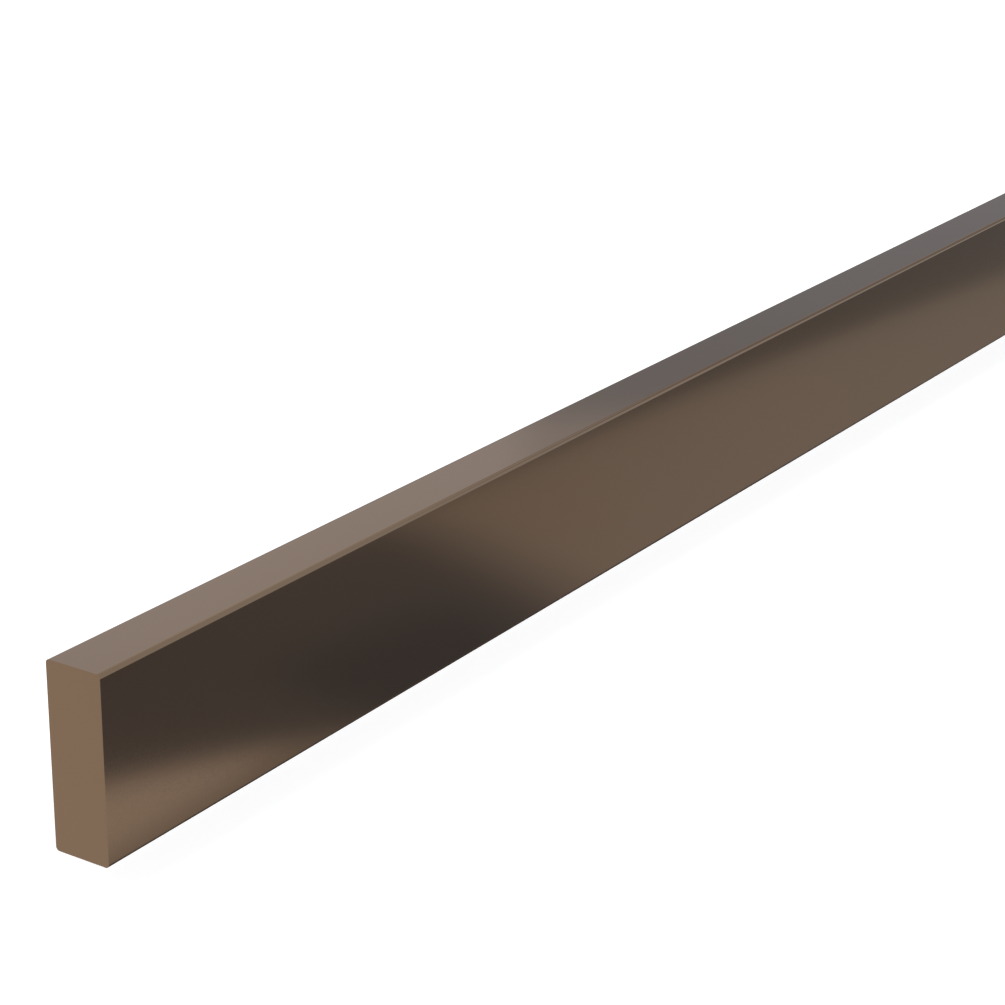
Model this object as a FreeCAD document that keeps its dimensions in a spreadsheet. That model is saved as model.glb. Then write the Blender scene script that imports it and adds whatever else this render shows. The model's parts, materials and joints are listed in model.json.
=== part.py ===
import FreeCAD, Part
import math
import os
import re

import Sketcher
from FreeCAD import Vector

# Automatic door bottom, surface mounted: a housing that is screwed to the face of a door, with a seal that
# a push rod and two leaf springs drive down when the plunger button meets the jamb.
#
# X runs along the housing towards the hinge side, where the button is. The door's face is the plane Y = 0,
# the housing's front faces -Y, and Z is up. The origin is the centre of the face that lies on the door.
# Sections are drawn with "across" measured from the housing's front face, or from the middle of the cavity,
# and with "up" measured from the housing's bottom edges. Each sub-part's Placement carries them to the frame.

# Driving sizes in millimetres. A value that starts with "=" follows from the others.
SIZES = {
    # housing
    "housing_length": "914.4",
    "housing_depth": "12.7",
    "housing_height": "38.1",
    "edge_radius": "0.8",
    "cap_thickness": "2",
    "extrusion_length": "=housing_length - 2 * cap_thickness",
    # clip-on cover
    "cover_wall": "1.5",
    "cover_gap": "0.1",
    "cover_lip": "1.2",
    "cover_corner": "0.5",
    "snap_leg": "1",
    "snap_gap": "0.2",
    "snap_reach": "0.6",
    "snap_land": "0.35",
    # base channel
    "rear_wall": "1.4",
    "leg_wall": "1.2",
    "web_wall": "1.4",
    "web_level": "26.2",
    "hook_reach": "0.7",
    "hook_wall": "0.7",
    "rib_reach": "0.5",
    "rib_width": "1",
    "rib_level": "4",
    "leg_front": "=cover_wall + cover_gap",
    "cavity_front": "=leg_front + leg_wall",
    "cavity_rear": "=housing_depth - rear_wall",
    "cavity_width": "=cavity_rear - cavity_front",
    "cavity_middle": "=(cavity_front + cavity_rear) / 2",
    "web_top": "=web_level + web_wall",
    "base_top": "=housing_height - cover_wall - cover_gap",
    "hook_front": "=cavity_rear - hook_reach",
    "snap_rear": "=hook_front - snap_gap",
    "snap_front": "=snap_rear - snap_leg",
    "snap_top": "=base_top - hook_wall - snap_gap",
    "snap_bottom": "=snap_top - snap_land - snap_reach",
    # holes for the screws that hold the base to the door
    "door_hole_radius": "2",
    "door_hole_margin": "28.2",
    "door_hole_pitch": "=(housing_length - 2 * door_hole_margin) / 3",
    "door_hole_level": "=(web_top + snap_bottom) / 2",
    # drop bar and seal
    "slide_gap": "0.3",
    "bar_width": "=cavity_width - 2 * slide_gap",
    "bar_wall": "1.2",
    "bar_lip": "1.1",
    "bar_web": "1",
    "bar_channel_depth": "3",
    "bar_channel_width": "=bar_width - 2 * bar_wall",
    "root_slot_height": "1.7",
    "neck_slot_width": "3.2",
    "seal_level": "0.6",
    "bulb_height": "4.6",
    "bulb_inset": "0.2",
    "bulb_width": "=bar_width - 2 * bulb_inset",
    "bulb_wall": "0.9",
    "bulb_round": "2.9",
    "seal_gap": "0.2",
    "root_height": "1.4",
    "bar_level": "=seal_level + bulb_height + seal_gap",
    "root_level": "=bar_level + bar_lip",
    "bar_web_level": "=root_level + root_slot_height",
    "bar_channel_level": "=bar_web_level + bar_web",
    "bar_top": "=bar_channel_level + bar_channel_depth",
    "end_gap": "0.3",
    "glide_flange": "0.7",
    "glide_plug": "10",
    "glide_fit": "0.1",
    "seal_length": "=extrusion_length - 2 * end_gap",
    "bar_length": "=seal_length - 2 * glide_flange",
    # push rod
    "stroke": "4.5",
    "rod_side_gap": "0.75",
    "rod_width": "=cavity_width - 2 * rod_side_gap",
    "rod_thickness": "1.5",
    "rod_gap": "0.2",
    "rod_tail": "18",
    "rod_level": "=web_level - rod_gap - rod_thickness",
    # leaf springs
    "leaf_margin": "228.6",
    "leaf_station": "=housing_length / 2 - leaf_margin",
    "leaf_span": "110",
    "leaf_width": "=clevis_width - 2 * leaf_side_gap",
    "leaf_thickness": "0.5",
    "leaf_level": "15.45",
    "pin_level": "20.8",
    "pin_radius": "1",
    "eye_gap": "0.1",
    "eye_turn": "290",
    "eye_inner": "=pin_radius + eye_gap",
    "eye_outer": "=eye_inner + leaf_thickness",
    "eye_middle": "=eye_inner + leaf_thickness / 2",
    "leaf_fall": "=pin_level - leaf_level",
    "leaf_radius": "=((leaf_span / 2)^2 + leaf_fall^2 - eye_middle^2) / (2 * (leaf_fall - eye_middle))",
    # blocks that carry the leaf springs' eyes
    "block_width": "=bar_width",
    "cheek_wall": "1.25",
    "leaf_side_gap": "0.2",
    "block_nose": "2.4",
    "block_tail": "8.6",
    "block_round": "1.5",
    "block_level": "18.9",
    "anchor_top": "=rod_level - rod_gap",
    "clevis_room": "0.25",
    "clevis_width": "=block_width - 2 * cheek_wall",
    "clevis_end": "=eye_outer + clevis_room",
    "clevis_top": "=pin_level + eye_outer + clevis_room",
    "pin_fit": "0.02",
    "fastener_offset": "5.4",
    "boss_length": "5",
    "boss_width": "3.5",
    "boss_gap": "0.25",
    "slot_end_gap": "0.6",
    "boss_station": "=-leaf_station - leaf_span / 2 - fastener_offset",
    # fasteners
    "screw_radius": "1",
    "screw_fit": "0.02",
    "screw_clearance": "0.15",
    "screw_head_radius": "2",
    "screw_head_height": "1.6",
    "screw_head_round": "0.5",
    "screw_depth": "5.6",
    "driver_slot_width": "0.6",
    "driver_slot_depth": "0.7",
    "rivet_radius": "1",
    "rivet_fit": "0.02",
    "rivet_head_radius": "1.7",
    # saddles on the drop bar
    "saddle_length": "10",
    "saddle_inset": "0.4",
    "saddle_width": "=bar_width - 2 * saddle_inset",
    "saddle_fit": "0.1",
    "saddle_leaf_gap": "0.05",
    "saddle_pin_radius": "0.8",
    "saddle_pin_gap": "0.1",
    "saddle_crest": "0.8",
    "saddle_rivet_depth": "4",
    "saddle_floor": "=leaf_level - leaf_thickness / 2 - saddle_leaf_gap",
    "saddle_pin_level": "=leaf_level + leaf_thickness / 2 + saddle_pin_gap + saddle_pin_radius",
    "saddle_top": "=saddle_pin_level + saddle_pin_radius + saddle_crest",
    # end caps
    "spigot_length": "6",
    "spigot_fit": "0.1",
    "spigot_lead": "0.5",
    "spigot_level": "14.5",
    # plunger button on the hinge side
    "drive_level": "21.7",
    "button_inset": "1.05",
    "button_width": "=cavity_width - 2 * button_inset",
    "button_fit": "0.1",
    "button_corner": "0.6",
    "button_tip_lead": "0.5",
    "button_reach": "7.5",
    "flange_thickness": "2",
    "flange_inset": "0.45",
    "flange_width": "=cavity_width - 2 * flange_inset",
    "flange_step": "0.4",
    "flange_height": "=button_width + 2 * flange_step",
    "adjust_reach": "2.1",
    "adjust_gap": "0.2",
    "nut_gap": "3",
    "button_rear": "=housing_length / 2 - cap_thickness - spigot_length - adjust_reach - adjust_gap"
                   " - flange_thickness",
    "button_length": "=housing_length / 2 + button_reach - button_rear",
    # adjusting screw, held in the button and threaded in the thrust block
    "thread_radius": "2",
    "thread_fit": "0.05",
    "thread_depth": "11",
    "thread_lead": "0.4",
    "neck_fit": "0.15",
    "head_radius": "2.5",
    "head_height": "2.7",
    "head_fit": "0.1",
    "head_play": "0.15",
    "button_lip": "2.2",
    "key_flats": "2",
    "key_depth": "1.5",
    "key_hole_radius": "1.3",
    "key_corner": "=key_flats / sqrt(3)",
    "shank_margin": "0.3",
    # thrust block on the hinge end of the rod
    "rivet_room": "5",
    "thrust_face": "=button_rear - nut_gap",
    "thrust_rivet": "=thrust_face - thread_depth - rivet_room / 2",
    "shank_end": "=thrust_face - thread_depth + adjust_reach + shank_margin",
}

# Lines and circles are first drawn about this large, in millimetres, and then take the sheet's sizes.
FIRST_SIZE = 10

# How near two places in millimetres count as one, and the least change of volume in mm3 that a feature makes.
SAME_PLACE = 1e-4
LEAST_CHANGE = 1e-6

doc = FreeCAD.newDocument("door_bottom")
dims = doc.addObject("Spreadsheet::Sheet", "dims")
nodes = []


def fill_sheet():
    for row, (alias, value) in enumerate(SIZES.items(), start=1):
        dims.set(f"A{row}", alias)
        dims.set(f"B{row}", value)
        dims.setAlias(f"B{row}", alias)
    doc.recompute()


def size(alias):
    """The number in a cell of the sheet."""
    return float(getattr(dims, alias))


def formula(text):
    """Text in the sheet's aliases, as an expression that other objects can hold."""
    return re.sub(r"[a-z_]+", lambda word: "dims." + word.group(), text)


def bind(thing, path, text):
    thing.setExpression(path, formula(text))


def new_body(label, disjoint=False):
    body = doc.addObject("PartDesign::Body", label)
    body.Label = label
    body.AllowCompound = disjoint
    nodes.append(body)
    return body


def place(thing, along, across, up):
    """Put a sub-part's own origin at a station along X, a depth from the front face and a height."""
    bind(thing, "Placement.Base.x", along)
    bind(thing, "Placement.Base.y", f"{across} - housing_depth")
    bind(thing, "Placement.Base.z", f"{up} - housing_height / 2")


def sketch_on(body, plane, offset="0"):
    """An empty sketch on one of the body's origin planes, moved along the plane's normal."""
    sketch = body.newObject("Sketcher::SketchObject", body.Label + "_sketch")
    origin_plane = next(item for item in body.Origin.OriginFeatures if item.Role == plane + "_Plane")
    sketch.AttachmentSupport = [(origin_plane, "")]
    sketch.MapMode = "FlatFace"
    bind(sketch, "AttachmentOffset.Base.z", offset)
    return sketch


def dimension(sketch, kind, targets, start, text):
    """A dimension that follows the sheet."""
    index = sketch.addConstraint(Sketcher.Constraint(kind, *targets, start))
    name = f"{kind.lower()}_{index}"
    sketch.renameConstraint(index, name)
    bind(sketch, "Constraints." + name, text)


def pin_point(sketch, edge, end, start, across, up):
    dimension(sketch, "DistanceX", (-1, 1, edge, end), start.x, across)
    dimension(sketch, "DistanceY", (-1, 1, edge, end), start.y, up)


def outline(sketch, corners):
    """A closed outline of straight sides through (across, up) corners given in the sheet's aliases."""
    first = sketch.GeometryCount
    count = len(corners)
    turn = 2 * math.pi / count
    points = [FIRST_SIZE * Vector(math.cos(turn * i), math.sin(turn * i), 0) for i in range(count)]
    for i in range(count):
        sketch.addGeometry(Part.LineSegment(points[i], points[(i + 1) % count]), False)
    for i in range(count):
        sketch.addConstraint(Sketcher.Constraint("Coincident", first + i, 2, first + (i + 1) % count, 1))
    for i, (across, up) in enumerate(corners):
        pin_point(sketch, first + i, 1, points[i], across, up)


def box_outline(sketch, left, bottom, right, top):
    outline(sketch, [(left, bottom), (right, bottom), (right, top), (left, top)])


def circle(sketch, across, up, radius):
    centre = Vector(1, 1, 0)
    edge = sketch.addGeometry(Part.Circle(centre, Vector(0, 0, 1), FIRST_SIZE), False)
    pin_point(sketch, edge, 3, centre, across, up)
    dimension(sketch, "Radius", (edge,), FIRST_SIZE, radius)


def feature(body, kind, sketch, length, symmetric=False, reverse=False):
    """Pad or pocket a sketch, and see that it added or removed material."""
    before = body.Shape.Volume if body.Tip else 0
    item = body.newObject("PartDesign::" + kind, f"{body.Label}_{kind.lower()}")
    item.Profile = sketch
    if length == "all":
        item.Type = "ThroughAll"
    else:
        bind(item, "Length", length)
    if symmetric:
        item.SideType = "Symmetric"
    item.Reversed = reverse
    doc.recompute()
    change = item.Shape.Volume - before
    if (change > 0) != (kind == "Pad") or abs(change) < LEAST_CHANGE:
        raise RuntimeError(f"{item.Name} changes the volume of {body.Label} by {change}")
    return item


def pad(body, sketch, length, **options):
    return feature(body, "Pad", sketch, length, **options)


def pocket(body, sketch, length, **options):
    return feature(body, "Pocket", sketch, length, **options)


def repeat(body, item, direction_sketch, count, length):
    """Copies of a feature in a row along X, which is the sketch's horizontal axis."""
    row = body.newObject("PartDesign::LinearPattern", body.Label + "_row")
    row.Originals = [item]
    row.Direction = (direction_sketch, ["H_Axis"])
    bind(row, "Length", length)
    row.Occurrences = count
    body.Tip = row
    doc.recompute()
    return row


def edges_where(shape, test):
    return [f"Edge{i}" for i, edge in enumerate(shape.Edges, start=1) if test(edge)]


def near(value, target):
    return abs(value - target) < SAME_PLACE


def along_x_at(spots):
    """A test for long edges parallel to X that pass through one of the (across, up) spots."""

    def test(edge):
        start, end = edge.Vertexes[0].Point, edge.Vertexes[-1].Point
        straight = near(start.y, end.y) and near(start.z, end.z) and not near(start.x, end.x)
        return straight and any(near(start.y, across) and near(start.z, up) for across, up in spots)

    return test


def dress(body, kind, test, value):
    """A fillet or chamfer on the edges of the body's tip that pass the test."""
    base = body.Tip
    item = body.newObject("PartDesign::" + kind, f"{body.Label}_{kind.lower()}")
    item.Base = (base, edges_where(base.Shape, test))
    bind(item, "Radius" if kind == "Fillet" else "Size", value)
    doc.recompute()
    return item


def revolve(body, sketch, axis):
    item = body.newObject("PartDesign::Revolution", body.Label + "_revolution")
    item.Profile = sketch
    item.ReferenceAxis = (sketch, [axis])
    item.Angle = 360
    doc.recompute()
    return item


# ---------------------------------------------------------------- housing

def front_cover():
    """Clip-on cover: a lip below the base's leg, a groove over its rib and a barbed leg behind its hook."""
    body = new_body("front_cover")
    sketch = sketch_on(body, "YZ")
    outline(sketch, [
        ("0", "0"),
        ("cavity_front", "0"),
        ("cavity_front", "cover_lip"),
        ("cover_wall", "cover_lip"),
        ("cover_wall", "rib_level - snap_gap"),
        ("leg_front - rib_reach - snap_gap", "rib_level - snap_gap"),
        ("leg_front - rib_reach - snap_gap", "rib_level + rib_width + snap_gap"),
        ("cover_wall", "rib_level + rib_width + snap_gap"),
        ("cover_wall", "housing_height - cover_wall"),
        ("snap_front", "housing_height - cover_wall"),
        ("snap_front", "snap_bottom"),
        ("snap_rear", "snap_bottom"),
        ("snap_rear + snap_reach", "snap_bottom + snap_reach"),
        ("snap_rear + snap_reach", "snap_top"),
        ("snap_rear", "snap_top"),
        ("snap_rear", "housing_height - cover_wall"),
        ("housing_depth", "housing_height - cover_wall"),
        ("housing_depth", "housing_height"),
        ("0", "housing_height"),
    ])
    pad(body, sketch, "extrusion_length")
    depth, height, wall = size("housing_depth"), size("housing_height"), size("cover_wall")
    dress(body, "Fillet", along_x_at([(0, 0), (0, height), (depth, height)]), "edge_radius")
    dress(body, "Fillet", along_x_at([(wall, height - wall)]), "cover_corner")
    place(body, "-extrusion_length / 2", "0", "0")


def base_channel():
    """Extrusion that is screwed to the door: a cavity below the web for the mechanism, and screw room above."""
    body = new_body("base_channel")
    sketch = sketch_on(body, "YZ")
    outline(sketch, [
        ("housing_depth", "0"),
        ("housing_depth", "base_top"),
        ("hook_front", "base_top"),
        ("hook_front", "base_top - hook_wall"),
        ("cavity_rear", "base_top - hook_wall"),
        ("cavity_rear", "web_top"),
        ("leg_front", "web_top"),
        ("leg_front", "rib_level + rib_width"),
        ("leg_front - rib_reach", "rib_level + rib_width"),
        ("leg_front - rib_reach", "rib_level"),
        ("leg_front", "rib_level"),
        ("leg_front", "cover_lip + cover_gap"),
        ("cavity_front", "cover_lip + cover_gap"),
        ("cavity_front", "web_level"),
        ("cavity_rear", "web_level"),
        ("cavity_rear", "0"),
    ])
    pad(body, sketch, "extrusion_length", symmetric=True)
    dress(body, "Fillet", along_x_at([(size("housing_depth"), 0)]), "edge_radius")

    door_hole = sketch_on(body, "XZ")
    circle(door_hole, "-1.5 * door_hole_pitch", "door_hole_level", "door_hole_radius")
    item = pocket(body, door_hole, "all")
    repeat(body, item, door_hole, 4, "3 * door_hole_pitch")

    screw_hole = sketch_on(body, "XY")
    circle(screw_hole, "boss_station", "cavity_middle", "screw_radius + screw_clearance")
    item = pocket(body, screw_hole, "all", reverse=True)
    repeat(body, item, screw_hole, 2, "2 * leaf_station")
    place(body, "0", "0", "0")


def end_cap(label, plate_start, spigot_start):
    """A plate of the housing's full outline, with one plug above the base's web and one below it."""
    body = new_body(label)
    plate = sketch_on(body, "YZ", plate_start)
    box_outline(plate, "0", "0", "housing_depth", "housing_height")
    pad(body, plate, "cap_thickness")
    depth, height = size("housing_depth"), size("housing_height")
    corners = [(0, 0), (0, height), (depth, 0), (depth, height)]
    dress(body, "Fillet", along_x_at(corners), "edge_radius")
    plugs = sketch_on(body, "YZ", spigot_start)
    box_outline(plugs, "cover_wall + spigot_fit", "web_top + spigot_fit",
                "snap_front - spigot_fit", "base_top - spigot_fit")
    box_outline(plugs, "cavity_front + spigot_fit", "spigot_level",
                "cavity_rear - spigot_fit", "web_level - spigot_fit")
    pad(body, plugs, "spigot_length")
    return body


def face_rim_at(station):
    """A test for edges that lie across X at one station."""
    return lambda edge: all(near(vertex.Point.x, station) for vertex in edge.Vertexes)


def lock_end_cap():
    body = end_cap("lock_end_cap", "0", "cap_thickness")
    end = size("cap_thickness") + size("spigot_length")
    dress(body, "Chamfer", face_rim_at(end), "spigot_lead")
    place(body, "-housing_length / 2", "0", "0")


def hinge_end_cap():
    body = end_cap("hinge_end_cap", "spigot_length", "0")
    dress(body, "Chamfer", face_rim_at(0), "spigot_lead")
    guide = sketch_on(body, "YZ")
    half = "button_width / 2 + button_fit"
    box_outline(guide, f"cavity_middle - ({half})", f"drive_level - ({half})",
                f"cavity_middle + {half}", f"drive_level + {half}")
    pocket(body, guide, "all", reverse=True)
    place(body, "housing_length / 2 - cap_thickness - spigot_length", "0", "0")


# ---------------------------------------------------------------- drop bar and seal

def drop_bar():
    """Extrusion with an open channel above its web for the saddles, and a T-slot below it for the seal."""
    body = new_body("drop_bar")
    sketch = sketch_on(body, "YZ")
    half, slot, neck = "bar_width / 2", "bar_channel_width / 2", "neck_slot_width / 2"
    right = [
        (neck, "bar_level"),
        (half, "bar_level"),
        (half, "bar_top"),
        (slot, "bar_top"),
        (slot, "bar_channel_level"),
    ]
    lower_right = [
        (slot, "bar_web_level"),
        (slot, "root_level"),
        (neck, "root_level"),
    ]
    upper_left = [("-" + across, up) for across, up in reversed(right)]
    lower_left = [("-" + across, up) for across, up in reversed(lower_right)]
    outline(sketch, right + upper_left + lower_left + lower_right)
    pad(body, sketch, "bar_length", symmetric=True)

    hole = sketch_on(body, "XY")
    circle(hole, "-leaf_station", "0", "rivet_radius + rivet_fit")
    item = pocket(body, hole, "all", reverse=True)
    repeat(body, item, hole, 2, "2 * leaf_station")
    dress(body, "Chamfer", rim_at(size("bar_web_level")), "rivet_head_radius - rivet_radius")
    place(body, "0", "cavity_middle", "0")


def rim_at(level):
    """A test for the rims of upright round holes at one level."""
    return lambda edge: edge.Curve.TypeId == "Part::GeomCircle" and near(edge.Curve.Center.z, level)


def seal_insert():
    """Rubber seal: a T root for the drop bar's slot, and a hollow bulb with a rounded foot."""
    body = new_body("seal_insert")
    sketch = sketch_on(body, "YZ")
    bulb, neck = "bulb_width / 2", "neck_slot_width / 2 - seal_gap"
    root = "bar_channel_width / 2 - seal_gap"
    bulb_top = "seal_level + bulb_height"
    right = [
        (bulb, "seal_level"),
        (bulb, bulb_top),
        (neck, bulb_top),
        (neck, "root_level"),
        (root, "root_level"),
        (root, "root_level + root_height"),
    ]
    left = [(f"-({across})", up) for across, up in reversed(right)]
    outline(sketch, right + left)
    pad(body, sketch, "seal_length", symmetric=True)
    half, level = size("bulb_width") / 2, size("seal_level")
    dress(body, "Fillet", along_x_at([(half, level), (-half, level)]), "bulb_round")

    hollow = sketch_on(body, "YZ")
    inner = "bulb_width / 2 - bulb_wall"
    box_outline(hollow, f"-({inner})", "seal_level + bulb_wall", inner, f"{bulb_top} - bulb_wall")
    pocket(body, hollow, "seal_length", symmetric=True)
    inner_half, inner_level = half - size("bulb_wall"), level + size("bulb_wall")
    dress(body, "Fillet", along_x_at([(inner_half, inner_level), (-inner_half, inner_level)]),
          "bulb_round - bulb_wall")
    place(body, "0", "cavity_middle", "0")


def end_glide(label, side):
    """Nylon plug in the end of the drop bar's channel, with a flange that runs on the end cap."""
    body = new_body(label)
    flange = sketch_on(body, "YZ")
    box_outline(flange, "-bar_width / 2", "bar_web_level", "bar_width / 2", "bar_top")
    pad(body, flange, "glide_flange", reverse=side > 0)
    plug = sketch_on(body, "YZ")
    box_outline(plug, "glide_fit - bar_channel_width / 2", "bar_channel_level + glide_fit",
                "bar_channel_width / 2 - glide_fit", "bar_top")
    pad(body, plug, "glide_flange + glide_plug", reverse=side > 0)
    place(body, f"{side} * seal_length / 2", "cavity_middle", "0")


def saddle(label, station):
    """Block on the drop bar that holds the middle of a leaf spring between its floor and a cross pin."""
    body = new_body(label)
    sketch = sketch_on(body, "YZ")
    foot, wide, slot = "bar_channel_width / 2 - saddle_fit", "saddle_width / 2", "clevis_width / 2"
    right = [
        (foot, "bar_channel_level"),
        (foot, "bar_top"),
        (wide, "bar_top"),
        (wide, "saddle_top"),
        (slot, "saddle_top"),
        (slot, "saddle_floor"),
    ]
    left = [(f"-({across})", up) for across, up in reversed(right)]
    outline(sketch, right + left)
    pad(body, sketch, "saddle_length", symmetric=True)
    pin_hole = sketch_on(body, "XZ")
    circle(pin_hole, "0", "saddle_pin_level", "saddle_pin_radius + pin_fit")
    pocket(body, pin_hole, "saddle_width", symmetric=True)
    rivet_hole = sketch_on(body, "XY", "bar_channel_level")
    circle(rivet_hole, "0", "0", "rivet_radius + rivet_fit")
    pocket(body, rivet_hole, "saddle_rivet_depth", reverse=True)
    place(body, station, "cavity_middle", "0")


# ---------------------------------------------------------------- push rod

def push_rod():
    """Flat bar under the base's web, with a slot round each anchor block's boss."""
    body = new_body("push_rod")
    sketch = sketch_on(body, "XY")
    box_outline(sketch, "boss_station - rod_tail", "-rod_width / 2", "thrust_face", "rod_width / 2")
    pad(body, sketch, "rod_thickness")

    slot = sketch_on(body, "XY")
    box_outline(slot, "boss_station - boss_length / 2 - slot_end_gap", "-boss_width / 2 - boss_gap",
                "boss_station + boss_length / 2 + slot_end_gap + stroke", "boss_width / 2 + boss_gap")
    item = pocket(body, slot, "rod_thickness", reverse=True)
    repeat(body, item, slot, 2, "2 * leaf_station")

    hole = sketch_on(body, "XY")
    circle(hole, "-leaf_station + leaf_span / 2 + fastener_offset", "0", "rivet_radius + rivet_fit")
    item = pocket(body, hole, "rod_thickness", reverse=True)
    repeat(body, item, hole, 2, "2 * leaf_station")

    end_hole = sketch_on(body, "XY")
    circle(end_hole, "thrust_rivet", "0", "rivet_radius + rivet_fit")
    pocket(body, end_hole, "rod_thickness", reverse=True)
    dress(body, "Chamfer", rim_at(size("rod_thickness")), "rivet_head_radius - rivet_radius")
    place(body, "0", "cavity_middle", "rod_level")


def eye_block(label, station, side, top):
    """Block round a leaf spring's eye: a clevis at the pin, and a solid tail on the side away from the leaf."""
    body = new_body(label)
    profile = sketch_on(body, "XZ")
    nose, tail = f"{-side} * block_nose", f"{side} * block_tail"
    outline(profile, [(nose, "block_level"), (tail, "block_level"), (tail, top), (nose, top)])
    pad(body, profile, "block_width", symmetric=True)
    nose_end, tail_end, level = -side * size("block_nose"), side * size("block_tail"), size("block_level")

    def lower_end(edge):
        middle = edge.CenterOfMass
        return near(middle.z, level) and (near(middle.x, nose_end) or near(middle.x, tail_end))

    dress(body, "Fillet", lower_end, "block_round")
    clevis = sketch_on(body, "XZ")
    outline(clevis, [(f"2 * ({nose})", "0"), (f"{side} * clevis_end", "0"),
                     (f"{side} * clevis_end", "clevis_top"), (f"2 * ({nose})", "clevis_top")])
    pocket(body, clevis, "clevis_width", symmetric=True)
    pin_hole = sketch_on(body, "XZ")
    circle(pin_hole, "0", "pin_level", "pin_radius + pin_fit")
    pocket(body, pin_hole, "block_width", symmetric=True)
    place(body, station, "cavity_middle", "0")
    return body


def slider_block(label, station):
    """Moving eye's block, riveted under the push rod."""
    body = eye_block(label, station, 1, "rod_level")
    hole = sketch_on(body, "XY")
    circle(hole, "fastener_offset", "0", "rivet_radius + rivet_fit")
    pocket(body, hole, "all", reverse=True)


def anchor_block(label, station):
    """Fixed eye's block, with a boss that passes through the push rod's slot to the base's web."""
    body = eye_block(label, station, -1, "anchor_top")
    boss = sketch_on(body, "XZ")
    box_outline(boss, "-fastener_offset - boss_length / 2", "clevis_top",
                "boss_length / 2 - fastener_offset", "web_level")
    pad(body, boss, "boss_width", symmetric=True)
    hole = sketch_on(body, "XY", "web_level")
    circle(hole, "-fastener_offset", "0", "screw_radius + screw_fit")
    pocket(body, hole, "screw_depth + screw_radius")


def thrust_block():
    """Block riveted under the hinge end of the push rod, with a bore for the adjusting screw's thread."""
    body = new_body("thrust_block")
    profile = sketch_on(body, "YZ")
    box_outline(profile, "-block_width / 2", "block_level", "block_width / 2", "rod_level")
    pad(body, profile, "thread_depth + rivet_room", reverse=True)
    half, level = size("block_width") / 2, size("block_level")
    dress(body, "Fillet", along_x_at([(half, level), (-half, level)]), "block_round")
    bore = sketch_on(body, "YZ")
    circle(bore, "0", "drive_level", "thread_radius + thread_fit")
    pocket(body, bore, "thread_depth")
    rivet_hole = sketch_on(body, "XY")
    circle(rivet_hole, "-thread_depth - rivet_room / 2", "0", "rivet_radius + rivet_fit")
    pocket(body, rivet_hole, "all", reverse=True)
    place(body, "thrust_face", "cavity_middle", "0")


# ---------------------------------------------------------------- leaf springs

def leaf_spring(label, station):
    """Bowed strip, tangent at each end to an eye that is rolled round a pin."""
    body = new_body(label)
    sketch = sketch_on(body, "XZ")
    half_strip = size("leaf_thickness") / 2
    radius, eye = size("leaf_radius"), size("eye_middle")
    bow_centre = Vector(0, size("leaf_level") + radius, 0)
    eye_right = Vector(size("leaf_span") / 2, size("pin_level"), 0)
    lean = math.asin(eye_right.x / (radius - eye))
    turn = math.radians(size("eye_turn"))
    down = -math.pi / 2
    up_axis = Vector(0, 0, 1)

    def arc(centre, arc_radius, start, end):
        return sketch.addGeometry(Part.ArcOfCircle(Part.Circle(centre, up_axis, arc_radius), start, end), False)

    bow_inner = arc(bow_centre, radius - half_strip, down - lean, down + lean)
    bow_outer = arc(bow_centre, radius + half_strip, down - lean, down + lean)
    sides = []
    for sign, centre in ((1, eye_right), (-1, Vector(-eye_right.x, eye_right.y, 0))):
        tangent = down + sign * lean
        span = sorted((tangent, tangent + sign * turn))
        inner = arc(centre, eye - half_strip, *span)
        outer = arc(centre, eye + half_strip, *span)
        free = tangent + sign * turn
        ray = Vector(math.cos(free), math.sin(free), 0)
        tip = sketch.addGeometry(Part.LineSegment(centre + ray * (eye - half_strip),
                                                  centre + ray * (eye + half_strip)), False)
        sides.append((sign, centre, inner, outer, tip))

    dimension(sketch, "Radius", (bow_inner,), radius - half_strip, "leaf_radius - leaf_thickness / 2")
    dimension(sketch, "Radius", (bow_outer,), radius + half_strip, "leaf_radius + leaf_thickness / 2")
    for sign, centre, inner, outer, tip in sides:
        joined, free = (1, 2) if sign > 0 else (2, 1)
        bow_end = 2 if sign > 0 else 1
        curves = ((inner, bow_inner, eye - half_strip, "eye_inner", 1),
                  (outer, bow_outer, eye + half_strip, "eye_outer", 2))
        for curve, bow, start, text, tip_end in curves:
            pin_point(sketch, curve, 3, centre, f"{sign} * leaf_span / 2", "pin_level")
            dimension(sketch, "Radius", (curve,), start, text)
            sketch.addConstraint(Sketcher.Constraint("Tangent", bow, bow_end, curve, joined))
            sketch.addConstraint(Sketcher.Constraint("Coincident", tip, tip_end, curve, free))
        sketch.addConstraint(Sketcher.Constraint("PointOnObject", outer, 3, tip))
        dimension(sketch, "Angle", (outer,), turn, "eye_turn")
    pad(body, sketch, "leaf_width", symmetric=True)
    place(body, station, "cavity_middle", "0")


# ---------------------------------------------------------------- plunger

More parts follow.
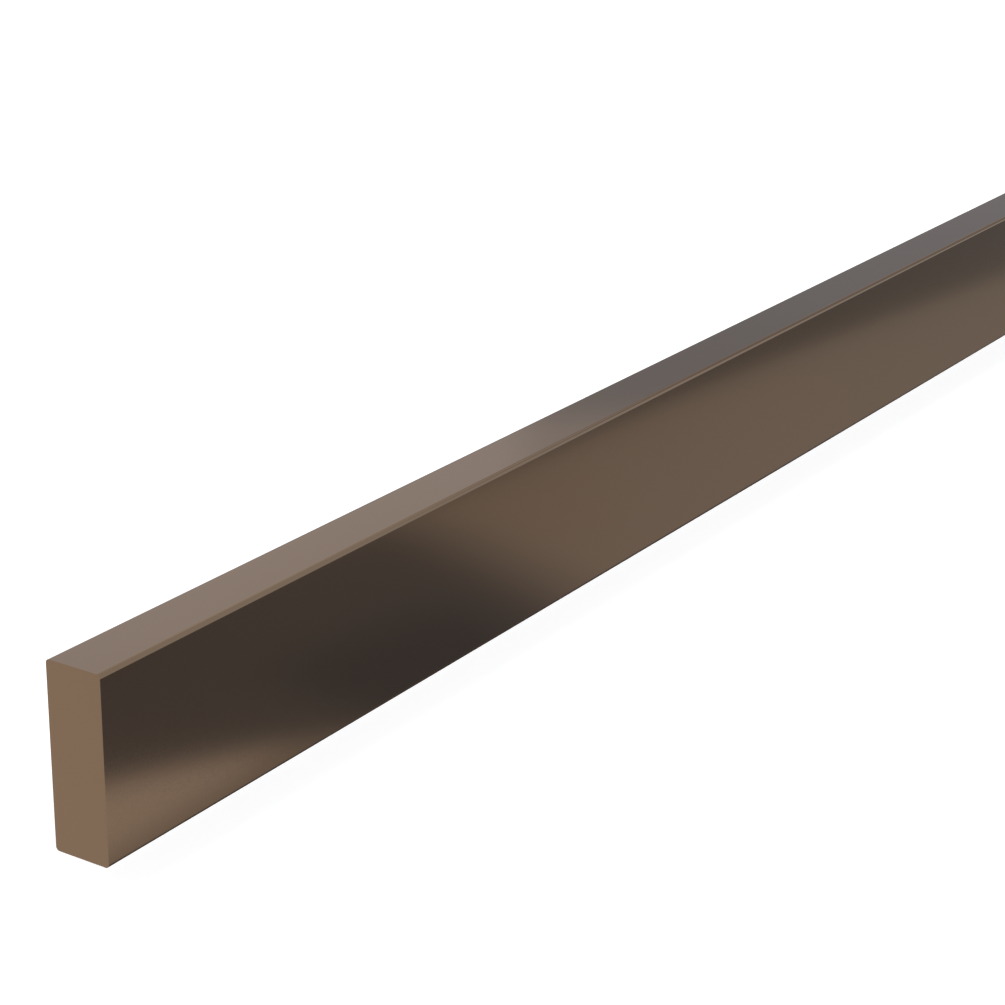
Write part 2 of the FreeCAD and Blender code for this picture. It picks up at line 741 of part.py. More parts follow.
def plunger_button():
    """Square nylon button with a flange that keeps it in its guide, and a pocket that holds the screw's head."""
    body = new_body("plunger_button")
    square = sketch_on(body, "YZ")
    half = "button_width / 2"
    box_outline(square, "-" + half, "-" + half, half, half)
    pad(body, square, "button_length")
    side = size("button_width") / 2
    dress(body, "Fillet", along_x_at([(y, z) for y in (-side, side) for z in (-side, side)]), "button_corner")
    tip = size("button_length")
    dress(body, "Chamfer", face_rim_at(tip), "button_tip_lead")
    flange = sketch_on(body, "YZ")
    box_outline(flange, "-flange_width / 2", "-flange_height / 2", "flange_width / 2", "flange_height / 2")
    pad(body, flange, "flange_thickness")
    bores = (
        ("0", "button_lip", "thread_radius + neck_fit"),
        ("button_lip", "head_height + 2 * head_play", "head_radius + head_fit"),
        ("0", "button_length", "key_hole_radius"),
    )
    for start, depth, radius in bores:
        bore = sketch_on(body, "YZ", start)
        circle(bore, "0", "0", radius)
        pocket(body, bore, depth, reverse=True)
    place(body, "button_rear", "cavity_middle", "drive_level")


def adjusting_screw():
    """Screw with a hexagon socket: its head turns in the button and its thread runs in the thrust block."""
    body = new_body("adjusting_screw")
    half_section = sketch_on(body, "XZ")
    shank = "button_rear + button_lip + head_play - shank_end"
    outline(half_section, [
        (f"-({shank})", "0"),
        (f"-({shank})", "thread_radius - thread_lead"),
        (f"thread_lead - ({shank})", "thread_radius"),
        ("0", "thread_radius"),
        ("0", "head_radius"),
        ("head_height", "head_radius"),
        ("head_height", "0"),
    ])
    revolve(body, half_section, "H_Axis")
    socket = sketch_on(body, "YZ", "head_height")
    flat = "key_flats / 2"
    outline(socket, [
        ("0", "-key_corner"),
        (flat, "-key_corner / 2"),
        (flat, "key_corner / 2"),
        ("0", "key_corner"),
        ("-" + flat, "key_corner / 2"),
        ("-" + flat, "-key_corner / 2"),
    ])
    pocket(body, socket, "key_depth")
    place(body, "button_rear + button_lip + head_play", "cavity_middle", "drive_level")


# ---------------------------------------------------------------- pins, rivets and screws in rows of like ones

def pin_row(label, radius, length, first, level):
    """Two cross pins, one for each leaf spring."""
    body = new_body(label, disjoint=True)
    sketch = sketch_on(body, "XZ")
    circle(sketch, first, "0", radius)
    item = pad(body, sketch, length, symmetric=True)
    repeat(body, item, sketch, 2, "2 * leaf_station")
    place(body, "0", "cavity_middle", level)


def rivets(label, first, level, length, count, head_up):
    """Countersunk rivets, drawn from the flat of the head."""
    body = new_body(label, disjoint=count > 1)
    half_section = sketch_on(body, "XZ")
    way = "-1" if head_up else "1"
    outline(half_section, [
        ("0", "0"),
        ("rivet_head_radius", "0"),
        ("rivet_radius", f"{way} * (rivet_head_radius - rivet_radius)"),
        ("rivet_radius", f"{way} * ({length})"),
        ("0", f"{way} * ({length})"),
    ])
    item = revolve(body, half_section, "V_Axis")
    if count > 1:
        repeat(body, item, half_section, count, "2 * leaf_station")
    place(body, first, "cavity_middle", level)


def anchor_screws():
    """Pan-head screws that pass down through the web into the anchor blocks."""
    body = new_body("anchor_screws", disjoint=True)
    half_section = sketch_on(body, "XZ")
    outline(half_section, [
        ("0", "-web_wall - screw_depth"),
        ("screw_radius", "-web_wall - screw_depth"),
        ("screw_radius", "0"),
        ("screw_head_radius", "0"),
        ("screw_head_radius", "screw_head_height - screw_head_round"),
        ("screw_head_radius - screw_head_round", "screw_head_height"),
        ("0", "screw_head_height"),
    ])
    turned = revolve(body, half_section, "V_Axis")
    slot = sketch_on(body, "XY", "screw_head_height")
    box_outline(slot, "-driver_slot_width / 2", "-screw_head_radius", "driver_slot_width / 2",
                "screw_head_radius")
    cut = pocket(body, slot, "driver_slot_depth")
    row = repeat(body, turned, half_section, 2, "2 * leaf_station")
    row.Originals = [turned, cut]
    doc.recompute()
    place(body, "boss_station", "cavity_middle", "web_top")


def small_parts():
    pin_row("anchor_pins", "pin_radius", "block_width", "-leaf_station - leaf_span / 2", "pin_level")
    pin_row("slider_pins", "pin_radius", "block_width", "leaf_span / 2 - leaf_station", "pin_level")
    pin_row("saddle_pins", "saddle_pin_radius", "saddle_width", "-leaf_station", "saddle_pin_level")
    rod_top, through_block = "rod_level + rod_thickness", "rod_level + rod_thickness - block_level"
    rivets("slider_rivets", "leaf_span / 2 + fastener_offset - leaf_station", rod_top, through_block, 2,
           head_up=True)
    rivets("thrust_rivet", "thrust_rivet", rod_top, through_block, 1, head_up=True)
    rivets("saddle_rivets", "-leaf_station", "bar_web_level", "bar_web + saddle_rivet_depth", 2,
           head_up=False)
    anchor_screws()


def leaf_sets():
    """The two leaf springs, with the blocks and saddle that carry each."""
    for number, station in enumerate(("-leaf_station", "leaf_station"), start=1):
        leaf_spring(f"leaf_spring_{number}", station)
        anchor_block(f"anchor_block_{number}", f"{station} - leaf_span / 2")
        slider_block(f"slider_block_{number}", f"{station} + leaf_span / 2")
        saddle(f"saddle_{number}", station)


def check_and_export():
    doc.recompute()
    for item in doc.Objects:
        if {"Invalid", "Error"} & set(item.State):
            raise RuntimeError(f"{item.Name} failed: {item.State}")
    os.makedirs("parts", exist_ok=True)
    for node in nodes:
        if not node.Shape.Solids or not node.Shape.isValid():
            raise RuntimeError(f"{node.Label} has no valid solid")
        node.Shape.exportStep(f"parts/{node.Label}.step")
        print(f"{node.Label}: {len(node.Shape.Solids)} solid(s), {node.Shape.Volume:.1f} mm3")


fill_sheet()
front_cover()
base_channel()
lock_end_cap()
hinge_end_cap()
drop_bar()
seal_insert()
end_glide("lock_end_glide", -1)
end_glide("hinge_end_glide", 1)
push_rod()
leaf_sets()
thrust_block()
plunger_button()
adjusting_screw()
small_parts()
check_and_export()
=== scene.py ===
import json
import math

import bmesh
import bpy
from mathutils import Matrix, Vector


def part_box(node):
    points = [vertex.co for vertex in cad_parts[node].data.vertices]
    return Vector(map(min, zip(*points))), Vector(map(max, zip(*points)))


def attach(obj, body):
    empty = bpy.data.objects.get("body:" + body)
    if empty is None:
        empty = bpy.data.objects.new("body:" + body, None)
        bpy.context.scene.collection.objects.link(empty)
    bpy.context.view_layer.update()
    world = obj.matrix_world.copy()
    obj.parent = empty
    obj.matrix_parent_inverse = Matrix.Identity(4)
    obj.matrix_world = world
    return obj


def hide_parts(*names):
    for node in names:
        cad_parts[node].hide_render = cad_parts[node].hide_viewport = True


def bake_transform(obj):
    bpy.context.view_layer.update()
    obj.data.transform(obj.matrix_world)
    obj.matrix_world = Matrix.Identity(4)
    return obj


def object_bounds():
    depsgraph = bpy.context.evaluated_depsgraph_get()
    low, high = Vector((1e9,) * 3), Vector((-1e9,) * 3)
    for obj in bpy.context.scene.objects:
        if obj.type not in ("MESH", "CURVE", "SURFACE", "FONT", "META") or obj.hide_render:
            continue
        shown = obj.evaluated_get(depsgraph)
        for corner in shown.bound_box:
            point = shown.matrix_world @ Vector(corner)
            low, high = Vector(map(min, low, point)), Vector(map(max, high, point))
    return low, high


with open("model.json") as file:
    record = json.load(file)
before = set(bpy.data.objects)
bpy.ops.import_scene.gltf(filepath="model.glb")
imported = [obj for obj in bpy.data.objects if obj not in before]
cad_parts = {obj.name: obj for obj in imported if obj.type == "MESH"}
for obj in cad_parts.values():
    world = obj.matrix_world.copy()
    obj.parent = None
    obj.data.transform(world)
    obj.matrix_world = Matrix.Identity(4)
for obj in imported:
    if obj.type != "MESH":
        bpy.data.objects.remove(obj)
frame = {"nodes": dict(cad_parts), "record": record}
cad_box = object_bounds()

# A door sweep whose seal drops out of a plain bar. The bar lies along X with its front towards -Y.
# Lengths are in metres, and angles in degrees unless said.
MM = 0.001
WHITE = (1.0, 1.0, 1.0)


# ---------------------------------------------------------------- node helpers

# The Mix node has its sockets once for each kind of value. These are the colour's.
MIX_FIRST = 6
MIX_SECOND = 7
MIX_RESULT = 2


def add(tree, kind, **values):
    """A node with its plain properties and its input sockets set by name."""
    node = tree.nodes.new(kind)
    for name, value in values.items():
        if name in node.inputs:
            node.inputs[name].default_value = value
        else:
            setattr(node, name, value)
    return node


def math_node(tree, operation, *operands):
    """The result of a sum or function of its operands. Each is a number or a socket."""
    node = add(tree, "ShaderNodeMath", operation=operation)
    for socket, operand in zip(node.inputs, operands):
        if isinstance(operand, (int, float)):
            socket.default_value = operand
        else:
            tree.links.new(operand, socket)
    return node.outputs[0]


def remap(tree, value, low, high, to_low, to_high, smooth=False):
    """A value carried from one range over to another, and held at both ends of it."""
    node = add(tree, "ShaderNodeMapRange",
               interpolation_type="SMOOTHSTEP" if smooth else "LINEAR",
               **{"From Min": low, "From Max": high, "To Min": to_low, "To Max": to_high})
    tree.links.new(value, node.inputs["Value"])
    return node.outputs["Result"]


def mix_colour(tree, mask, first, second):
    """First where the mask is 0 and second where it is 1. Each is a colour or a socket."""
    node = add(tree, "ShaderNodeMix", data_type="RGBA")
    tree.links.new(mask, node.inputs["Factor"])
    for place, colour in ((MIX_FIRST, first), (MIX_SECOND, second)):
        if isinstance(colour, tuple):
            node.inputs[place].default_value = (*colour, 1)
        else:
            tree.links.new(colour, node.inputs[place])
    return node.outputs[MIX_RESULT]


def ray_masks(tree):
    """1 for rays from the camera, straight or through glass, and the same with mirrored rays."""
    path = add(tree, "ShaderNodeLightPath")
    direct = math_node(tree, "MAXIMUM",
                       path.outputs["Is Camera Ray"], path.outputs["Is Transmission Ray"])
    return direct, math_node(tree, "MAXIMUM", direct, path.outputs["Is Glossy Ray"])


# ---------------------------------------------------------------- materials

NOISE_ROUGHNESS = 0.55
# The noise is taken to run between these two values. It seldom leaves them.
NOISE_LOW = 0.3
NOISE_HIGH = 0.7


class Surface:
    """A Principled material whose detail comes from noise in the object's own coordinates."""

    def __init__(self, name, metallic=0.0, specular=0.5):
        self.material = bpy.data.materials.new("detailed_" + name)
        self.material.use_nodes = True
        self.tree = self.material.node_tree
        self.shader = self.tree.nodes["Principled BSDF"]
        self.shader.inputs["Metallic"].default_value = metallic
        self.shader.inputs["Specular IOR Level"].default_value = specular
        self.coords = add(self.tree, "ShaderNodeTexCoord").outputs["Object"]
        self.normal = None

    def noise(self, grain, stretch=(1, 1, 1), detail=3.0):
        """Noise whose blotches are about grain wide, drawn out along each axis by its stretch."""
        mapping = add(self.tree, "ShaderNodeMapping")
        mapping.inputs["Scale"].default_value = [1 / length for length in stretch]
        self.tree.links.new(self.coords, mapping.inputs["Vector"])
        texture = add(self.tree, "ShaderNodeTexNoise",
                      Scale=1 / grain, Detail=detail, Roughness=NOISE_ROUGHNESS)
        self.tree.links.new(mapping.outputs["Vector"], texture.inputs["Vector"])
        return texture.outputs["Fac"]

    def spread_over(self, value, low, high):
        """Noise spread from the range it has over the range given."""
        return remap(self.tree, value, NOISE_LOW, NOISE_HIGH, low, high)

    def colour(self, value, first, second):
        mixed = mix_colour(self.tree, self.spread_over(value, 0, 1), first, second)
        self.tree.links.new(mixed, self.shader.inputs["Base Color"])

    def roughness(self, value, low, high):
        self.tree.links.new(self.spread_over(value, low, high), self.shader.inputs["Roughness"])

    def bump(self, value, depth):
        """Relief as deep as said, laid over any that is there already."""
        node = add(self.tree, "ShaderNodeBump", Strength=1.0, Distance=depth)
        self.tree.links.new(value, node.inputs["Height"])
        if self.normal:
            self.tree.links.new(self.normal, node.inputs["Normal"])
        self.normal = node.outputs["Normal"]
        self.tree.links.new(self.normal, self.shader.inputs["Normal"])


def shades(colour, spread):
    """A colour a little darker and a little lighter than the one given."""
    darker = tuple(c * (1 - spread) for c in colour)
    lighter = tuple(min(c * (1 + spread), 1) for c in colour)
    return darker, lighter


def bronze_finish():
    """Bronze-coloured coating, smooth and satin, over the faint lines of an extrusion."""
    surface = Surface("bronze_finish", metallic=1)
    cloud = surface.noise(grain=0.06, stretch=(6, 1, 1))
    grain = surface.noise(grain=0.0004, detail=2)
    lines = surface.noise(grain=0.0006, stretch=(160, 1, 1), detail=2)
    surface.colour(cloud, *shades((0.212, 0.138, 0.087), spread=0.03))
    surface.roughness(grain, low=0.05, high=0.075)
    surface.bump(lines, depth=0.3e-6)
    return surface.material


def mill_aluminium():
    """Bare aluminium with the long die lines of an extrusion."""
    surface = Surface("mill_aluminium", metallic=1)
    cloud = surface.noise(grain=0.03, stretch=(5, 1, 1))
    lines = surface.noise(grain=0.0003, stretch=(200, 1, 1))
    surface.colour(cloud, *shades((0.62, 0.62, 0.63), spread=0.05))
    surface.roughness(lines, low=0.26, high=0.42)
    surface.bump(lines, depth=3e-6)
    return surface.material


def black_rubber():
    """Matt rubber with a little bloom."""
    surface = Surface("black_rubber", specular=0.4)
    bloom = surface.noise(grain=0.008, stretch=(4, 1, 1), detail=5)
    grain = surface.noise(grain=0.00025)
    surface.colour(bloom, (0.014, 0.014, 0.014), (0.027, 0.026, 0.025))
    surface.roughness(grain, low=0.55, high=0.75)
    surface.bump(grain, depth=12e-6)
    return surface.material


def nylon(name, colour, spread):
    """Moulded nylon with a fine grain."""
    surface = Surface(name, specular=0.45)
    cloud = surface.noise(grain=0.004)
    grain = surface.noise(grain=0.0002)
    surface.colour(cloud, *shades(colour, spread))
    surface.roughness(grain, low=0.38, high=0.52)
    surface.bump(grain, depth=5e-6)
    return surface.material


def white_nylon():
    return nylon("white_nylon", colour=(0.72, 0.70, 0.64), spread=0.03)


def black_nylon():
    return nylon("black_nylon", colour=(0.025, 0.025, 0.027), spread=0.15)


def plain_metal(name, colour, spread, roughness, stretch, depth):
    """Bare metal with drawing or turning marks along the stretched axis."""
    surface = Surface(name, metallic=1)
    cloud = surface.noise(grain=0.003, stretch=stretch)
    marks = surface.noise(grain=0.0002, stretch=stretch)
    surface.colour(cloud, *shades(colour, spread))
    surface.roughness(marks, *roughness)
    surface.bump(marks, depth)
    return surface.material


def zinc_plated_steel():
    return plain_metal("zinc_plated_steel", colour=(0.55, 0.56, 0.58), spread=0.08,
                       roughness=(0.28, 0.42), stretch=(12, 1, 1), depth=3e-6)


def bright_steel():
    return plain_metal("bright_steel", colour=(0.5, 0.5, 0.5), spread=0.03,
                       roughness=(0.14, 0.24), stretch=(1, 12, 1), depth=1e-6)


def spring_steel():
    return plain_metal("spring_steel", colour=(0.24, 0.24, 0.25), spread=0.08,
                       roughness=(0.24, 0.34), stretch=(20, 1, 1), depth=2e-6)


def brass():
    return plain_metal("brass", colour=(0.6, 0.42, 0.16), spread=0.05,
                       roughness=(0.2, 0.32), stretch=(8, 1, 1), depth=2e-6)


MAKERS = (bronze_finish, mill_aluminium, black_rubber, white_nylon, black_nylon,
          zinc_plated_steel, bright_steel, spring_steel, brass)
materials = {maker.__name__: maker() for maker in MAKERS}


def finish_nodes():
    """Give each CAD node the detailed material of its slot in the record."""
    for part in frame["record"]["subparts"]:
        node = frame["nodes"][part["node"]]
        node.data.materials.clear()
        node.data.materials.append(materials[part["material_slot"]])


# ---------------------------------------------------------------- mesh helpers

def finish(name, bm, slot, sharp_above=50):
    """An object from a bmesh in the finish of a slot, smooth but for edges sharper than said."""
    bmesh.ops.recalc_face_normals(bm, faces=bm.faces)
    for face in bm.faces:
        face.smooth = True
    for edge in bm.edges:
        edge.smooth = edge.calc_face_angle(0) < math.radians(sharp_above)
    mesh = bpy.data.meshes.new(name)
    bm.to_mesh(mesh)
    bm.free()
    piece = bpy.data.objects.new(name, mesh)
    bpy.context.collection.objects.link(piece)
    mesh.materials.append(materials[slot])
    return piece


def rounded(corners, steps=6):
    """A closed outline through (y, z, radius) corners, each rounded to its radius."""
    points = []
    for i, (y, z, radius) in enumerate(corners):
        corner = Vector((y, z))
        back = (Vector(corners[i - 1][:2]) - corner).normalized()
        ahead = (Vector(corners[(i + 1) % len(corners)][:2]) - corner).normalized()
        half = back.angle(ahead) / 2
        reach = radius / math.tan(half)
        centre = corner + (back + ahead).normalized() * radius / math.sin(half)
        start, end = corner + back * reach - centre, corner + ahead * reach - centre
        for step in range(steps + 1 if radius else 1):
            spoke = start.lerp(end, step / steps)
            points.append(centre + spoke.normalized() * radius if radius else corner)
    return points


def extrusion(bm, outlines, start, end):
    """A bar along X whose section is the first outline, with the others as bores."""
    for station in (start, end):
        edges = []
        for outline in outlines:
            verts = [bm.verts.new((station, y, z)) for y, z in outline]
            edges += [bm.edges.new((verts[i - 1], verts[i])) for i in range(len(verts))]
        bmesh.ops.triangle_fill(bm, use_beauty=True, edges=edges)
    bm.verts.ensure_lookup_table()
    total = sum(len(outline) for outline in outlines)
    first = 0
    for outline in outlines:
        for i in range(len(outline)):
            a, b = first + i, first + (i + 1) % len(outline)
            bm.faces.new([bm.verts[k] for k in (a, b, total + b, total + a)])
        first += len(outline)


def join_rings(bm, rings):
    """A skin over rings of vertices, each joined to the next, open at both ends."""
    for ring, following in zip(rings, rings[1:]):
        for k in range(len(ring)):
            bm.faces.new((ring[k - 1], ring[k], following[k], following[k - 1]))


# ---------------------------------------------------------------- seal

SEAL_WALL = 0.9 * MM
BULB_HEIGHT = 4.6 * MM
BULB_ROUND = 2.9 * MM
BORE_ROUND = 0.5 * MM
SHOULDER_ROUND = 0.6 * MM
NECK_HALF = 1.4 * MM
NECK_FOOT_ROUND = 0.3 * MM
NECK_TOP_ROUND = 0.15 * MM
ROOT_HALF = 2.55 * MM
ROOT_HEIGHT = 1.4 * MM
ROOT_LIP_ROUND = 0.3 * MM
ROOT_TOP_ROUND = 0.4 * MM
FOOT_HEIGHT = BULB_ROUND / 2
RIB_PITCH = 0.7 * MM
RIB_DEPTH = 0.16 * MM
RIB_SPREAD = 2.45 * MM
RIB_PIECES = 8


def ribbed(outline, middle, level):
    """The outline with fine ribs along the underside, cut inwards."""
    foot_top = level + FOOT_HEIGHT
    fine = []
    for i, point in enumerate(outline):
        following = outline[(i + 1) % len(outline)]
        pieces = max(1, round((following - point).length / (RIB_PITCH / RIB_PIECES)))
        low = max(point.y, following.y) < foot_top
        fine += [point.lerp(following, k / pieces) for k in range(pieces if low else 1)]
    result = []
    for point in fine:
        across = point.x - middle
        if abs(across) < RIB_SPREAD and point.y < foot_top:
            depth = RIB_DEPTH * (0.5 - 0.5 * math.cos(2 * math.pi * across / RIB_PITCH))
            point = point + Vector((0, depth))
        result.append(point)
    return result


def make_seal():
    """Rubber extrusion: a hollow bulb with a ribbed foot, and a T root that sits in the drop bar's
    slot."""
    low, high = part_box("seal_insert")
    middle, level = (low.y + high.y) / 2, low.z
    half = (high.y - low.y) / 2
    shoulder, root = level + BULB_HEIGHT, high.z - ROOT_HEIGHT
    right = [
        (half, level, BULB_ROUND),
        (half, shoulder, SHOULDER_ROUND),
        (NECK_HALF, shoulder, NECK_FOOT_ROUND),
        (NECK_HALF, root, NECK_TOP_ROUND),
        (ROOT_HALF, root, ROOT_LIP_ROUND),
        (ROOT_HALF, high.z, ROOT_TOP_ROUND),
    ]
    left = [(-y, z, r) for y, z, r in reversed(right)]
    outer = rounded([(middle + y, z, r) for y, z, r in left[-1:] + right + left[:-1]])
    inner_half = half - SEAL_WALL
    inner = rounded([
        (middle - inner_half, level + SEAL_WALL, BULB_ROUND - SEAL_WALL),
        (middle + inner_half, level + SEAL_WALL, BULB_ROUND - SEAL_WALL),
        (middle + inner_half, shoulder - SEAL_WALL, BORE_ROUND),
        (middle - inner_half, shoulder - SEAL_WALL, BORE_ROUND),
    ])
    bm = bmesh.new()
    extrusion(bm, [ribbed(outer, middle, level), inner], low.x, high.x)
    seal = finish("seal_bulb", bm, "black_rubber")
    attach(seal, "drop_bar")
    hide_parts("seal_insert")


# ---------------------------------------------------------------- leaf springs

LEAF_THICKNESS = 0.5 * MM
LEAF_EDGE = 0.08 * MM
EYE_MIDDLE = 1.35 * MM
EYE_OUTER = 1.6 * MM
EYE_TURN = 290
LAP_LENGTH = 5 * MM
LAP_PLAY = 0.02 * MM
LAP_SETBACK = 3.3 * MM
EYE_STEPS = 28
BOW_STEPS = 30
TAIL_STEPS = 4


def strip(name, path, middle, width):
    """A flat strip of spring steel whose middle line is a path of (x, z) points."""
    half, thick, edge = width / 2, LEAF_THICKNESS / 2, LEAF_EDGE
    corners = [(half, thick - edge), (half - edge, thick),
               (edge - half, thick), (-half, thick - edge),
               (-half, edge - thick), (edge - half, -thick),
               (half - edge, -thick), (half, edge - thick)]
    bm = bmesh.new()
    rings = []
    for i, point in enumerate(path):
        along = (path[min(i + 1, len(path) - 1)] - path[max(i - 1, 0)]).normalized()
        normal = Vector((-along.y, along.x))
        rings.append([bm.verts.new((point.x + normal.x * up, middle + across,
                                    point.y + normal.y * up))
                      for across, up in corners])
    join_rings(bm, rings)
    bm.faces.new(rings[0])
    bm.faces.new(list(reversed(rings[-1])))
    return finish(name, bm, "spring_steel")


def circle_arc(centre, radius, start, end, steps):
    """Points along an arc, from one angle to another in radians."""
    angles = [start + (end - start) * i / steps for i in range(steps + 1)]
    return [centre + Vector((math.cos(angle), math.sin(angle))) * radius for angle in angles]


def make_leaf_spring(number):
    """A bowed strip between two rolled eyes, in three pieces. The half with the fixed eye and the
    half towards the sliding eye are baked in place. The sliding eye goes with the push
    rod, and its short tail slides along the strip."""
    node = f"leaf_spring_{number}"
    low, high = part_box(node)
    middle, width = (low.y + high.y) / 2, high.y - low.y
    station, span = (low.x + high.x) / 2, high.x - low.x - 2 * EYE_OUTER
    pin = high.z - EYE_OUTER
    bow = low.z + LEAF_THICKNESS / 2
    fall = pin - bow
    radius = ((span / 2) ** 2 + fall ** 2 - EYE_MIDDLE ** 2) / (2 * (fall - EYE_MIDDLE))
    centre = Vector((station, bow + radius))
    lean = math.asin(span / 2 / (radius - EYE_MIDDLE))
    down, turn = -math.pi / 2, math.radians(EYE_TURN)

    fixed_eye = Vector((station - span / 2, pin))
    path = circle_arc(fixed_eye, EYE_MIDDLE, down - lean - turn, down - lean, EYE_STEPS)
    path += circle_arc(centre, radius, down - lean, down, BOW_STEPS)[1:]
    half = strip(node + "_fixed_half", path, middle, width)
    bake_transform(half)
    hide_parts(node)

    # This half is a little flatter, so that it passes under the tip of the sliding eye's tail.
    tail_tip = span / 2 - LAP_LENGTH
    tip_rise = radius - math.sqrt(radius ** 2 - tail_tip ** 2) - LEAF_THICKNESS - LAP_PLAY
    lap_radius = (tail_tip ** 2 + tip_rise ** 2) / (2 * tip_rise)
    path = circle_arc(Vector((station, bow + lap_radius)), lap_radius, down,
                      down + math.asin((span / 2 - LAP_SETBACK) / lap_radius), BOW_STEPS)
    half = strip(node + "_sliding_half", path, middle, width)
    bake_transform(half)

    sliding_eye = Vector((station + span / 2, pin))
    path = circle_arc(centre, radius, down + lean - LAP_LENGTH / radius, down + lean, TAIL_STEPS)
    path += circle_arc(sliding_eye, EYE_MIDDLE, down + lean, down + lean + turn, EYE_STEPS)[1:]
    eye = strip(node + "_sliding_eye", path, middle, width)
    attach(eye, "push_rod")


# ---------------------------------------------------------------- adjusting screw

THREAD_PITCH = 0.7 * MM
THREAD_DEPTH = 0.4 * MM
THREAD_RADIUS = 2.0 * MM
CREST_GAIN = 1.25
HEAD_HEIGHT = 2.7 * MM
KEY_FLATS = 2.0 * MM
KEY_DEPTH = 1.5 * MM
EDGE_BREAK = 0.2 * MM
ROUND_STEPS = 24
ROUND_TURN = 2 * math.pi / ROUND_STEPS
PITCH_STEPS = 6


def thread_radii(along):
    """The thread's radius all round the screw, at a distance from its tip. The gain cuts the
    crests flat, and the first turn leads in."""
    lead_in = min(1, along / THREAD_PITCH)
    radii = []
    for k in range(ROUND_STEPS):
        phase = (along / THREAD_PITCH + k / ROUND_STEPS) % 1
        crest = min(1, CREST_GAIN * (1 - abs(2 * phase - 1)))
        radii.append(THREAD_RADIUS - THREAD_DEPTH * (1 - crest * lead_in))
    return radii


def key_radii():
    """The radius of the hexagon socket's wall all round the screw."""
    radii = []
    for k in range(ROUND_STEPS):
        from_flat = (k * ROUND_TURN + math.pi / 6) % (math.pi / 3) - math.pi / 6
        radii.append(KEY_FLATS / 2 / math.cos(from_flat))
    return radii


def make_adjusting_screw():
    """Socket screw with a rolled thread, whose head turns in the plunger button."""
    low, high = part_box("adjusting_screw")
    axis = (low + high) / 2
    head_radius = (high.z - low.z) / 2
    neck = high.x - HEAD_HEIGHT
    steps = round((neck - low.x) / THREAD_PITCH * PITCH_STEPS)
    stations = []
    for i in range(steps + 1):
        x = low.x + (neck - low.x) * i / steps
        stations.append((x, thread_radii(x - low.x)))
    for x, radius in ((neck, head_radius - EDGE_BREAK), (neck + EDGE_BREAK, head_radius),
                      (high.x - EDGE_BREAK, head_radius), (high.x, head_radius - EDGE_BREAK)):
        stations.append((x, [radius] * ROUND_STEPS))
    for x in (high.x, high.x - KEY_DEPTH):
        stations.append((x, key_radii()))
    bm = bmesh.new()
    rings = [[bm.verts.new((x, axis.y + radius * math.cos(k * ROUND_TURN),
                            axis.z + radius * math.sin(k * ROUND_TURN)))
              for k, radius in enumerate(radii)] for x, radii in stations]
    join_rings(bm, rings)
    bm.faces.new(rings[0])
    bm.faces.new(rings[-1])
    screw = finish("adjusting_screw_threaded", bm, "zinc_plated_steel", sharp_above=30)
    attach(screw, "adjusting_screw")
    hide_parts("adjusting_screw")


# ---------------------------------------------------------------- studio

# Light of the room where no area lies, in what isn't mirrored
ROOM_LIGHT = (0.9, 0.9, 0.9)

# Soft-edged areas of the studio that the metal mirrors, by where they lie as seen from the bar.
# Azimuth runs from +X towards -Y. Rise is how much higher both level edges lie for each degree of
# azimuth past the area's middle, and lean how far both side edges move in azimuth for each degree
# of elevation above it. Each area covers those before it.
# name: azimuths, softness of those edges, elevations, softness of those edges, rise, lean, light
AREAS = {
    "soft wall": ((-40, 20), 16, (-6, 28), 5, 0.0, 0.0, (0.75, 0.74, 0.76)),
    "cool window": ((-12, 70), 8, (-14, 80), 4, 0.0, 0.0, (0.88, 0.95, 1.0)),
    "cool strip": ((29, 46), 3, (-10, 24), 3, 0.0, 0.0, (0.85, 0.98, 1.15)),
    "cool wall": ((-75, -41), 5, (4, 60), 8, 0.0, 0.0, (0.88, 0.91, 0.99)),
    "dim wall": ((-32.7, 26), 0.8, (15, 26), 2, 0.0, 0.0, (0.64, 0.63, 0.64)),
    "grey wall": ((-41, 26), 5, (4, 18.6), 0.35, 0.0, 0.0, (0.38, 0.40, 0.44)),
    "upper wall": ((-31, 26), 3, (22.5, 34), 2.5, 0.0, 0.0, (0.52, 0.50, 0.49)),
    "mid ground": ((-4, 60), 8, (-60, -16.8), 0.6, -0.42, 0.0, (0.57, 0.56, 0.55)),
    "warm ground": ((-30, 22), 9, (-60, -3), 1, -0.42, 0.0, (0.36, 0.33, 0.28)),
    "dark skirting": ((0, 37), 1.5, (-13.65, -10.25), 0.05, -0.425, 0.0, (0.24, 0.25, 0.26)),
    "light floor": ((37.8, 84.2), 1.2, (-80, -27.5), 0.3, -0.11, 0.0, (0.97, 0.97, 0.98)),
    "shaded floor": ((36, 84), 2, (-80, -36.65), 0.25, -0.5, 0.0, (0.5, 0.5, 0.5)),
    "dark ground": ((23.9, 84), 2.6, (-28.3, -24.0), 0.3, -0.16, 2.2, (0.21, 0.23, 0.27)),
    "darkest ground": ((29.85, 37.8), 1.8, (-27, -22.5), 0.7, -0.35, 2.2, (0.15, 0.17, 0.21)),
    "dark floor": ((-25, 35.4), 2, (-52, -23), 1.5, 0.0, -0.8, (0.11, 0.10, 0.10)),
    "front wall": ((80, 150), 14, (-45, 12), 12, 0.0, 0.0, (0.66, 0.66, 0.67)),
    "back wall": ((-112, -66), 14, (-45, 12), 12, 0.0, 0.0, (0.66, 0.66, 0.67)),
}


